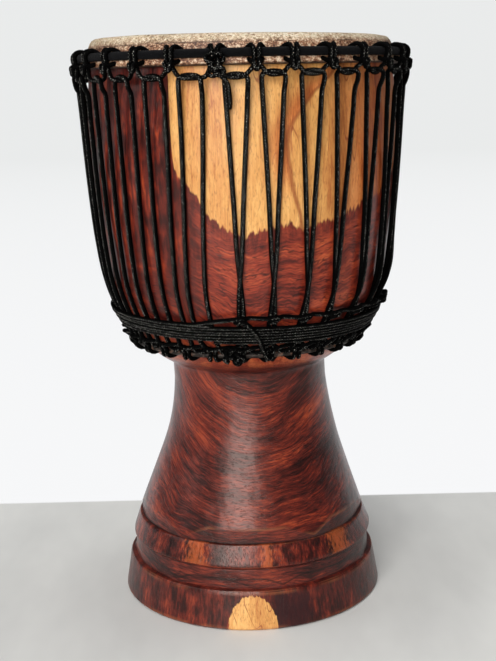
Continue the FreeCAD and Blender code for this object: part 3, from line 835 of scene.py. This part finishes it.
def make_shell(material):
    angle = np.linspace(0, 360, SHELL_TURNS, endpoint=False)
    upper = facet_rise(angle, UPPER_FACETS)
    lower = facet_rise(angle, [LOWER_FACET_START + 360 / LOWER_FACET_COUNT * k
                               for k in range(LOWER_FACET_COUNT)])
    lower = np.sin(lower * math.pi / 2)
    rim = waves(angle, 3)
    band = waves(angle, 5, 8, 3)
    lip = waves(angle, 8, 8, 3)

    # each stretch: point on the arc or none, end point, steps, and what marks its end;
    # in millimetres
    stretches = [
        (None, (145.5, 2.0), 2, "edge_wear_and_highlight"),
        (None, (139.3 + 0.3 * band, 38.8 + 0.5 * band), 11, "edge_wear_and_highlight"),
        (None, (138.3 + 0.3 * band, 40.6 + 0.5 * band), 2, "edge_wear_and_highlight"),
        (None, (135.4 - 1.9 * lower, 41.8 + 0.5 * band), 3, None),
        (None, (134.3 - 1.5 * lower, 43.6 + 8.4 * lower), 6, "crease_shade"),
        (None, (132.0 + 0.4 * lip, 60.5 + 0.6 * lip), 5, None),
        (None, (131.7 + 0.4 * lip, 62.2 + 0.6 * lip), 2, "crease_shade"),
        (None, (134.9 + 0.3 * lip, 65.6 + 0.6 * lip), 4, "edge_wear_and_highlight"),
        (None, (134.8 + 0.3 * lip, 67.2 + 0.6 * lip), 2, None),
        (None, (128.1 + 0.3 * band, 85.8 + 0.5 * lip), 8, None),
        (None, (127.3 + 0.3 * band, 87.2 + 0.5 * lip), 2, "edge_wear_and_highlight"),
        (None, (126.4 - 2.4 * upper, 88.1 + 0.5 * lip), 2, "crease_shade"),
        (None, (127.0 - 4.6 * upper, 90.0 + 12.5 * upper), 8, "edge_wear_and_highlight"),
        (None, (103.2, 156), 18, None),
        ((90.8, 199), (84.7, 243), 24, None),
        (None, (84.7, 261), 6, None),
        (None, (86.2, 263.8), 3, None),
        ((101.5, 273.6), (118, 289), 14, None),
        ((137.5, 320), (152, 360), 24, None),
        ((160, 420), (165, 485), 28, None),
        ((163.6, 540), (159.5, 595), 24, None),
        ((157, 603.5), (151.5, 608.4), 8, None),
        (None, (148.5, 607.2), 2, None),
        (None, (145, 600), 3, None),
        ((150.2, 490), (138.6, 360), 22, None),
        ((108, 301), (61, 268), 14, None),
        (None, (60, 236), 5, None),
        (None, (78, 150), 10, None),
        (None, (114, 40), 10, None),
        (None, (124, 0.6), 5, None),
        (None, (124.6, 0), 1, None),
        (None, (143.6, 0), 3, None),
    ]
    rows = []
    marks = {"edge_wear_and_highlight": [], "crease_shade": []}
    start = np.array([143.6 + 0 * angle, 0 * angle])
    for middle, end, steps, mark in stretches:
        end = np.array([end[0] + 0 * angle, end[1] + 0 * angle])
        if middle is None:
            rows += [start + (end - start) * k / steps for k in range(1, steps + 1)]
        else:
            base = arc_through(tuple(start[:, 0]), middle, tuple(end[:, 0]), steps)
            rows += [np.array([r + 0 * angle, h + 0 * angle]) for r, h in base]
        if mark:
            marks[mark].append(len(rows) - 1)
        start = end
    outlines = np.array(rows).transpose(2, 0, 1)

    # hand-carved unevenness of the outside, none at the floor, the rims and the bearing edge
    height = outlines[..., 1]
    hand = np.zeros_like(height)
    draw = np.random.default_rng(11)
    for _ in range(CARVE_WAVES):
        turns = draw.integers(2, 9)
        pace = draw.uniform(0.015, 0.06)
        hand += np.sin(np.radians(angle)[:, None] * turns + height * pace + draw.uniform(0, 6.3))
    quiet = np.clip(height / 30, 0, 1) * np.clip((600 - height) / 40, 0, 1)
    outlines[..., 0] -= (np.abs(hand) * CARVE_DEPTH + 0.05 * (1 + rim[:, None])) * quiet
    # the stem isn't quite on the axis, and the rim isn't quite level
    aside = STEM_ASIDE * np.exp(-((height - STEM_MIDDLE) / STEM_REACH) ** 2)
    outlines[..., 0] += aside * np.sin(np.radians(angle))[:, None]
    outlines[..., 1] += rim_rise(outlines, angle)
    piece = turned_piece("carved_shell", outlines, material, sharp=34)
    # rows marked in the creases get painted shade, and rows on the carved edges get wear and a
    # painted highlight
    for name, marked in marks.items():
        amount = np.zeros(outlines.shape[:2])
        amount[:, marked] = 1
        paint(piece, name, amount.ravel())
    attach(piece, "drum")
    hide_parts("shell")


# The hide over the bearing edge, folded round its ring

SKIN_TURNS = 400
SKIN_THICKNESS = 0.9            # millimetres
SKIN_UNDERSIDE = 608.7
FOLD_GAP = 0.2


def make_skin(material):
    angle = np.linspace(0, 360, SKIN_TURNS, endpoint=False)
    ring_r, ring_z = FLESH_RADIUS / MM, FLESH_HEIGHT / MM
    top = SKIN_TOP / MM
    fold = FLESH_ROD / MM + FOLD_GAP
    outer = fold + SKIN_THICKNESS
    outside = [(150.5, top - 0.05), (153.6, top - 0.6), (156.2, top - 2.2), (158.3, top - 5.0),
               (159.8, top - 8.5), (160.6, top - 12.5), (161.0, top - 17.0), (161.3, top - 22.0)]

    def round_ring(distance, degrees):
        return [(ring_r - distance * math.cos(math.radians(a)),
                 ring_z - distance * math.sin(math.radians(a))) for a in degrees]

    outer_fold = round_ring(outer, range(0, 181, 15))
    hem = [(ring_r + outer, ring_z + 1.6), (ring_r + outer - 0.1, ring_z + fold),
           (ring_r + fold, ring_z + fold)]
    inner_fold = round_ring(fold, range(180, -1, -20))
    inside = [(160.3, 595.0), (159.8, 598.4), (158.9, 601.3), (157.4, 603.8), (155.0, 606.7),
              (151.8, 608.65)]
    flat_under = [(r, SKIN_UNDERSIDE) for r in (148, 130, 100, 60, 20)]
    flat_over = [(r, top) for r in (20, 60, 100, 125, 138, 146)]
    rows = flat_over + outside + [(161.5, ring_z + 2.5)] + outer_fold + hem + inner_fold
    rows += inside + flat_under
    outline = np.array(rows)
    outlines = np.repeat(outline[None], SKIN_TURNS, axis=0)
    radius, height = outlines[..., 0], outlines[..., 1]
    # small lumps where the hide is dried over the rim and the ring
    lump = waves(angle, 21, 22, 5)[:, None]
    swell = waves(angle, 22, 30, 9)[:, None]
    on_side = np.clip((radius - 151) / 6, 0, 1) * np.clip((height - 585) / 8, 0, 1)
    radius += 0.25 * lump * on_side
    height -= np.clip(0.30 + 0.25 * swell, 0, 1) * np.clip(1 - np.abs(radius - 152) / 6, 0, 1)
    on_fold = np.clip((586 - height) / 3, 0, 1) * np.clip((radius - 161) / 4, 0, 1)
    radius -= np.clip(0.25 + 0.3 * swell, 0, 0.8) * on_fold
    height += rim_rise(outlines, angle)
    piece = turned_piece("rawhide_head", outlines, material, middle=(top, SKIN_UNDERSIDE))
    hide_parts("drumhead_skin")
    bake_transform(piece)


# Cloth wound round the crown ring

CLOTH_TURNS = 96                # of the strip round the ring's rod


def make_wrap(material):
    turns, sides = 1400, 16
    angle = np.linspace(0, 360, turns, endpoint=False)
    around = np.linspace(0, 360, sides, endpoint=False)
    wound = (angle[:, None] / 360 * CLOTH_TURNS + around[None, :] / 360) % 1
    ridge = 0.16 * (1 - np.clip(wound / 0.16, 0, 1)) + 0.10 * np.sin(wound * math.pi)
    slack = 0.12 * waves(angle, 31, 20, 7)[:, None] * np.cos(np.radians(around) * 2)[None, :]
    reach = WRAP_ROD / MM - 0.22 + ridge + slack
    radius = (CROWN_RADIUS / MM + reach * np.cos(np.radians(around))) * MM
    height = (CROWN_HEIGHT / MM + reach * np.sin(np.radians(around))) * MM
    points = place(np.column_stack([
        radius.ravel(), np.repeat(angle, sides), height.ravel()]))
    faces, column, row = grid_faces(turns, sides, sides)
    length = CROWN_RADIUS * 2 * math.pi / turns
    girth = WRAP_ROD * 2 * math.pi / sides
    u = np.column_stack([column, column + 1, column + 1, column]) * length
    v = np.column_stack([row, row, row + 1, row + 1]) * girth
    uv = np.stack([u, v], axis=-1).reshape(-1, 2)
    piece = new_piece("crown_cloth", points, faces, material, uv)
    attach(piece, "head")
    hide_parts("crown_ring_wrap")


# Ropework

def beside(ring_radius, ring_height, distance, direction, angle):
    """A point this far from the middle of a ring's rod. direction is in degrees, from straight
    out towards up."""
    turn = math.radians(direction)
    return (ring_radius + distance * math.cos(turn), angle,
            ring_height + distance * math.sin(turn))


def sideways(millimetres, radius):
    """An angle in degrees for this many millimetres along the rim."""
    return math.degrees(millimetres * MM / radius)


CORNER_ANGLE = STRAND + 0.55      # degrees from a lower loop's middle to its corners


def hitch_points(near, upward, bight, draw):
    """Half a cow hitch round a ring, from its leg to its bight: distance, direction, aside."""
    shape = [
        (near + 0.4 * MM, -30, 2.35), (near + 0.1 * MM, 20, 2.5), (near, 60, 3.4),
        (near, 96, 4.6), (near, 136, 7.2), (near, 172, 10.6), (near + 0.2 * MM, 200, 11.6),
        (near + 0.1 * MM, 224, 9.4), (near + 0.3 * MM, 248, 6.8), (near + 1.2 * MM, 276, 5.2),
    ] + bight
    return [(distance, direction * upward, aside + draw.normal() * 0.18)
            for distance, direction, aside in shape]


def full_hitch(centre, ring_radius, ring_height, rod, upward, bight, draw):
    half = hitch_points(rod + KNOTTED_RADIUS, upward, bight[:-1], draw)
    distance, direction = bight[-1]
    line = [(d, a, -aside) for d, a, aside in half] + [(distance, direction * upward, 0.0)]
    line += [(d, a, aside) for d, a, aside in half[::-1]]
    return [beside(ring_radius, ring_height, distance, direction,
                   centre + sideways(aside, ring_radius)) for distance, direction, aside in line]


# The bight that closes a hitch over its legs: distance, direction, aside. The last is its middle.
UPPER_BIGHT = [(9.6 * MM, 296, 4.0), (12.1 * MM, 315, 2.7), (14.7 * MM, 304, 2.3),
               (16.8 * MM, 298.5, 1.5), (17.6 * MM, 296)]
LOWER_BIGHT = [(8.4 * MM, 298, 3.4), (9.9 * MM, 314)]
# The knot pushes the hitches and the loop beside it to the right, in degrees
PUSHED = {-0.5: 1.6, 0: 1.4, 0.5: 1.2, 27.5: 1.6}


def upper_angle(index):
    return loop_angle(index) + PUSHED.get(index, 0.0)


def cradle_rise(index):
    """How far a cradle sits above the lowest, in millimetres. Those right of the front were
    pulled less."""
    return 2.9 if 1 <= index <= 8 else 1.0


def make_upper_loops(material):
    """One rope: a cow hitch on the crown ring between each two cradles."""
    draw = np.random.default_rng(41)
    corners = []
    for index in range(LOOP_COUNT):
        hitch = upper_angle(index - 0.5)
        after = upper_angle(index + 0.5)
        corners += full_hitch(hitch, CROWN_RADIUS, CROWN_HEIGHT, WRAP_ROD, 1, UPPER_BIGHT, draw)
        loop = upper_angle(index)
        wander = draw.normal(0, 0.12, 4)
        rise = cradle_rise(index)
        corners += metres([
            (175.0, hitch + 0.78, 581.5), (174.8, hitch + 1.0, 577.5),
            (175.4, hitch + 1.6, 573.9 + rise), (176.4, hitch + 2.6 + wander[0], 570.4 + rise),
            (176.6, hitch + 3.7, 567.6 + rise + wander[1]),
            (175.0, loop - 0.7, 566.6 + rise + wander[2]),
            (173.4, loop + 0.7, 566.6 + rise + wander[2]),
            (172.0, after - 3.7, 567.6 + rise + wander[1]),
            (172.4, after - 2.6 + wander[3], 570.4 + rise), (174.2, after - 1.6, 573.9 + rise),
            (174.8, after - 1.0, 577.5), (175.0, after - 0.78, 581.5),
        ])
    piece = rope_piece("upper_loops", [(smooth_line(corners, 8), KNOTTED_RADIUS)], material)
    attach(piece, "head")
    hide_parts("head_loops")


def make_lower_loops(material):
    """One rope: a cow hitch under the bottom ring between each two standing loops."""
    draw = np.random.default_rng(43)
    corners = []
    for index in range(LOOP_COUNT):
        hitch = loop_angle(index)
        corners += full_hitch(
            hitch, BOTTOM_RADIUS, BOTTOM_HEIGHT, BOTTOM_ROD, -1, LOWER_BIGHT, draw)
        loop = loop_angle(index + 0.5)
        corners += metres([
            (131.8, loop - PITCH / 2 + 1.5, 297.0),
            (135.6, loop - CORNER_ANGLE - 0.3, 300.4),
            (137.3, loop - CORNER_ANGLE + 0.8, 301.5), (133.6, loop, 302.0),
            (130.2, loop + CORNER_ANGLE - 0.8, 301.5),
            (130.4, loop + CORNER_ANGLE + 0.3, 300.4),
            (130.6, loop + PITCH / 2 - 1.5, 297.0),
        ])
    piece = rope_piece("lower_loops", [(smooth_line(corners, 8), KNOTTED_RADIUS)], material)
    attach(piece, "drum")
    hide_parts("bottom_loops")


# Where a strand lies on the bowl, in millimetres of radius and height
BOWL_LINE = ((133.2, 309), (144.7, 331), (154.3, 360), (160.7, 400), (165.0, 445), (168.2, 490),
             (170.8, 535), (172.2, 555))
PAIR_LOW, PAIR_CLOSED = 333, 408      # heights between which a pulled pair is twisted
STRAND_FOOT = 296.4
# Strands that stand out of line, by loop: degrees at the top and low down, left then right
OUT_OF_LINE = {0: ((1.4, 0.9), (1.4, 0.9)), 3: ((-0.3, -1.2), (0.2, -1.2)),
               27: ((-0.6, -1.5), (0.0, -0.8))}
IN_LINE = ((0.0, 0.0), (0.0, 0.0))


def strand_lean(index, side):
    """How far to the left a straight strand runs off low down, in degrees."""
    if index < LOOP_COUNT / 2:
        return 0.0
    from_pairs = (LOOP_COUNT - index) * PITCH - side * STRAND
    return -0.8 - 2.0 * math.exp(-from_pairs / 12)


def strand_points(index, side, pulled, draw):
    """A strand's corners on the bowl, from low to high, in millimetres. side is -1 for left and
    1 for right."""
    points = []
    lean = strand_lean(index, side)
    sway = draw.normal(0, 0.22)
    shift = draw.normal(0, 0.5)
    strays = OUT_OF_LINE.get(index, IN_LINE)[0 if side < 0 else 1]
    for radius, height in BOWL_LINE:
        at_top = float(np.interp(height, (380, 540), (0, 1)))
        stray = at_top * strays[0] + (1 - at_top) * strays[1]
        if pulled:
            spread, lift = pair_offset(height, side, shift)
            turn = loop_angle(index) + stray + math.degrees(spread / radius)
            points.append((radius + lift, turn, height))
            continue
        low = float(np.interp(height, (309, 350, 500), (0.35, 1, 0)))
        apart = STRAND + (TOP_STRAND - STRAND) * at_top
        turn = loop_angle(index) + side * apart + lean * low + sway * math.sin(height / 60)
        points.append((radius, turn + stray, height))
    return points


def pair_offset(height, side, shift):
    """Millimetres to the side and off the wood of one rope of a twisted pair."""
    apart = 1.06 * ROPE_RADIUS / MM
    if height >= PAIR_CLOSED:
        far = (height - PAIR_CLOSED) / (560 - PAIR_CLOSED)
        return side * (apart + far * (math.radians(TOP_STRAND) * 172 - apart)), 0.0
    share = np.clip((PAIR_CLOSED - height) / (PAIR_CLOSED - PAIR_LOW + 4 * shift), 0, 1)
    twist = math.pi * share
    lift = 2 * apart * max(0.0, math.sin(twist)) if side > 0 else 0.0
    return side * apart * math.cos(twist), 0.85 * lift


def lacing_corners(index, draw):
    """One zigzag, from the middle of one lower loop over an upper loop to the next lower one."""
    pulled = index < PULLED_COUNT
    middle = loop_angle(index)
    left = strand_points(index, -1, pulled, draw)
    right = strand_points(index, 1, pulled, draw)
    start = [(129.4, middle - PITCH / 2, STRAND_FOOT),
             (132.0, middle - STRAND - 1.2, STRAND_FOOT + 0.6),
             (131.6, middle - STRAND, STRAND_FOOT + 4.0)]
    rise = cradle_rise(index)
    strays = OUT_OF_LINE.get(index, IN_LINE)
    left_top = middle - TOP_STRAND + strays[0][0]
    right_top = middle + TOP_STRAND + strays[1][0]
    crossing = (left_top + right_top) / 2
    over = [(172.3, left_top, 560 + rise), (172.0, left_top + 0.1, 565.6 + rise),
            (172.0, left_top + 1.0, 568.5 + rise), (173.4, crossing - 0.7, 569.7 + rise),
            (175.0, crossing + 0.7, 569.7 + rise), (176.6, right_top - 1.0, 568.5 + rise),
            (176.8, right_top - 0.1, 565.6 + rise), (175.2, right_top, 559 + rise)]
    end = [(129.0, middle + STRAND, STRAND_FOOT + 4.0),
           (128.0, middle + STRAND + 1.2, STRAND_FOOT + 0.6),
           (129.4, middle + PITCH / 2, STRAND_FOOT)]
    return metres(start + left + over + right[::-1] + end)


def make_lacing(material):
    draw = np.random.default_rng(47)
    lines = [(smooth_line(lacing_corners(index, draw), 10), ROPE_RADIUS)
             for index in range(LOOP_COUNT)]
    groups = (("lacing_pulled_pairs", lines[:PULLED_COUNT], "lacing_pulled"),
              ("lacing_strands", lines[PULLED_COUNT:], "lacing_straight"))
    for name, group, node in groups:
        piece = rope_piece(name, group, material)
        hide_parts(node)
        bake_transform(piece)


# The weave and the winding are a little off level: this much lower on the +X side
WEAVE_HEIGHT, WEAVE_TILT = 335.5, 2.4
WEAVE_WOOD = 146.2              # radius of the wood behind it


def make_weave(material):
    """The rope's end goes round each pulled pair in turn and on to the next."""
    draw = np.random.default_rng(53)
    wood = WEAVE_WOOD
    corners = [(147.6, -22, 327.5), (149.4, -14, 331.5)]
    for index in range(PULLED_COUNT):
        pair = loop_angle(index) + 0.3 + draw.normal(0, 0.2)
        high = WEAVE_HEIGHT + 0.7 * math.sin(index * 1.7) + draw.normal(0, 0.4)
        high -= WEAVE_TILT * math.sin(math.radians(pair))
        corners += [
            (wood + 3.6, pair - 2.6, high - 1.0), (wood + 8.2, pair - 0.6, high + 0.6),
            (wood + 8.0, pair + 1.0, high + 0.8), (wood + 3.4, pair + 2.1, high - 1.2),
            (wood + 1.4, pair + 0.9, high - 4.4), (wood + 1.0, pair - 0.9, high - 5.2),
            (wood + 3.0, pair - 1.9, high - 3.6), (wood + 8.0, pair - 0.4, high - 2.8),
            (wood + 7.2, pair + 1.5, high - 0.8), (wood + 3.2, pair + 3.2, high + 0.2),
        ]
    piece = rope_piece("weave", [(smooth_line(metres(corners), 8), KNOTTED_RADIUS)], material)
    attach(piece, "drum")
    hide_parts("weave_rope")


WINDING_TURNS, WINDING_START = 6, -14.0
WINDING_STEP = 9                # degrees from one corner to the next
WINDING_RADIUS, WINDING_SPREAD = 137.6, 11.0
WINDING_HEIGHT, WINDING_RISE, WINDING_TILT = 308.4, 18.6, 2.6
WINDING_ROPE = 1.95 * MM        # so thin that its rows stay apart


def make_winding(material):
    """The spare rope, wound round the foot of the bowl over the lacing."""
    draw = np.random.default_rng(59)
    corners = []
    total = int(WINDING_TURNS * 360 / WINDING_STEP)
    phases = draw.uniform(0, 2 * math.pi, 12)
    for k in range(total + 1):
        angle = WINDING_START + k * WINDING_STEP
        row = k * WINDING_STEP // 360
        share = k / total
        turn = math.radians(angle)
        radius = WINDING_RADIUS + WINDING_SPREAD * share
        height = WINDING_HEIGHT + WINDING_RISE * share - WINDING_TILT * math.sin(turn)
        wobble = (0.5 * math.sin(2 * turn + phases[row])
                  + 0.35 * math.sin(5 * turn + phases[row + 5]))
        radius += 0.45 * (-1) ** row + 0.3 * wobble
        corners.append((radius, angle, height + 0.6 * wobble))
    piece = rope_piece("winding", [(smooth_line(metres(corners), 6), WINDING_ROPE)], material)
    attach(piece, "drum")
    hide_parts("rope_winding")


def knot_line(centre, half_sizes, tilt):
    """A trefoil of rope squeezed into a box. Its centre is (radius, angle, height), and its half
    sizes are across, in and out, and up, all in millimetres but the angle."""
    turn = np.linspace(0, 2 * math.pi, 90)
    across = (2 + np.cos(3 * turn)) * np.cos(2 * turn) / 3
    up = (2 + np.cos(3 * turn)) * np.sin(2 * turn) / 3
    deep = np.sin(3 * turn)
    across, up = (across * math.cos(tilt) - up * math.sin(tilt),
                  across * math.sin(tilt) + up * math.cos(tilt))
    radius = centre[0] + half_sizes[1] * deep
    angle = centre[1] + np.degrees(half_sizes[0] * across / centre[0])
    height = centre[2] + half_sizes[2] * up
    return place(metres(np.column_stack([radius, angle, height])))


def make_knots(material):
    """The knots that end the upper loops' rope and the spare rope, with their tails."""
    middle = upper_angle(-0.5)
    strand = upper_angle(0) - TOP_STRAND + 1.5
    tail = [(178, middle + 0.2, 576), (179, middle + 1.6, 570), (177, strand - 0.6, 563),
            (175, strand, 552), (174.2, strand + 0.1, 542)]
    piece = rope_piece("upper_knot", [
        (knot_line((178.6, middle, 584), (8.6, 2.2, 7.6), 0.4), KNOT_ROPE),
        (knot_line((178.2, middle + 0.3, 574.6), (8.2, 2.2, 6.4), 1.7), KNOT_ROPE),
        (smooth_line(metres(tail)), KNOT_ROPE),
        (knot_line((174.6, strand, 541), (1.0, 0.8, 1.3), 0.0), 1.7 * MM),
    ], material)
    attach(piece, "head")
    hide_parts("head_loops_knot")

    tail = [(152.5, -3.2, 334.5), (157.2, -0.8, 332.5), (155.0, 1.8, 326), (147.4, 4.6, 313),
            (141.6, 6.4, 301), (138.2, 8.0, 293), (137.6, 9.6, 289.5)]
    piece = rope_piece("winding_tail", [(smooth_line(metres(tail)), ROPE_RADIUS)], material)
    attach(piece, "drum")
    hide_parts("winding_tie_strand")

    end = [(143, -7, 296), (140, -9.5, 291.5), (139.6, -7.4, 288)]
    piece = rope_piece("winding_knot", [
        (knot_line((143.6, -5.5, 298), (7.4, 2.8, 6.0), 0.9), ROPE_RADIUS),
        (knot_line((141.4, -3.6, 292), (5.6, 2.4, 4.6), 2.2), ROPE_RADIUS),
        (smooth_line(metres(end)), ROPE_RADIUS),
    ], material)
    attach(piece, "drum")
    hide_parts("winding_tie_knot")


def make_floor():
    mesh = bpy.data.meshes.new("floor")
    corners = [(x * FLOOR_HALF, y * FLOOR_HALF, 0) for x, y in ((-1, -1), (1, -1), (1, 1), (-1, 1))]
    mesh.from_pydata(corners, [], [(0, 1, 2, 3)])
    mesh.materials.append(make_floor_material())
    floor = bpy.data.objects.new("floor", mesh)
    bpy.context.collection.objects.link(floor)
    floor.location.z = -FLOOR_DROP


def make_lights():
    area_light("window", location=(-0.75, -2.9, 1.35), target=(0, 0, 0.32),
               width=1.8, height=2.3, power=118, colour=(1, 0.985, 0.96))
    area_light("left", location=(-2.6, -0.6, 1.5), target=(0, 0, 0.4),
               width=1.4, height=1.4, power=12, colour=(0.95, 0.98, 1))
    area_light("top", location=(0.1, 0.2, 2.6), target=(0, 0, 0),
               width=2.0, height=2.0, power=34, colour=(1, 1, 1))


make_camera()
make_world()
make_lights()
make_floor()

wood = make_wood()
rope = make_rope_material()
steel = make_steel()
make_shell(wood)
make_skin(make_hide())
make_wrap(make_cloth())
make_upper_loops(rope)
make_lower_loops(rope)
make_lacing(rope)
make_weave(rope)
make_winding(rope)
make_knots(rope)
for name in ("flesh_ring", "crown_ring", "bottom_ring"):
    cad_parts[name].data.materials.clear()
    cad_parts[name].data.materials.append(steel)

bpy.context.scene.view_settings.view_transform = "Standard"
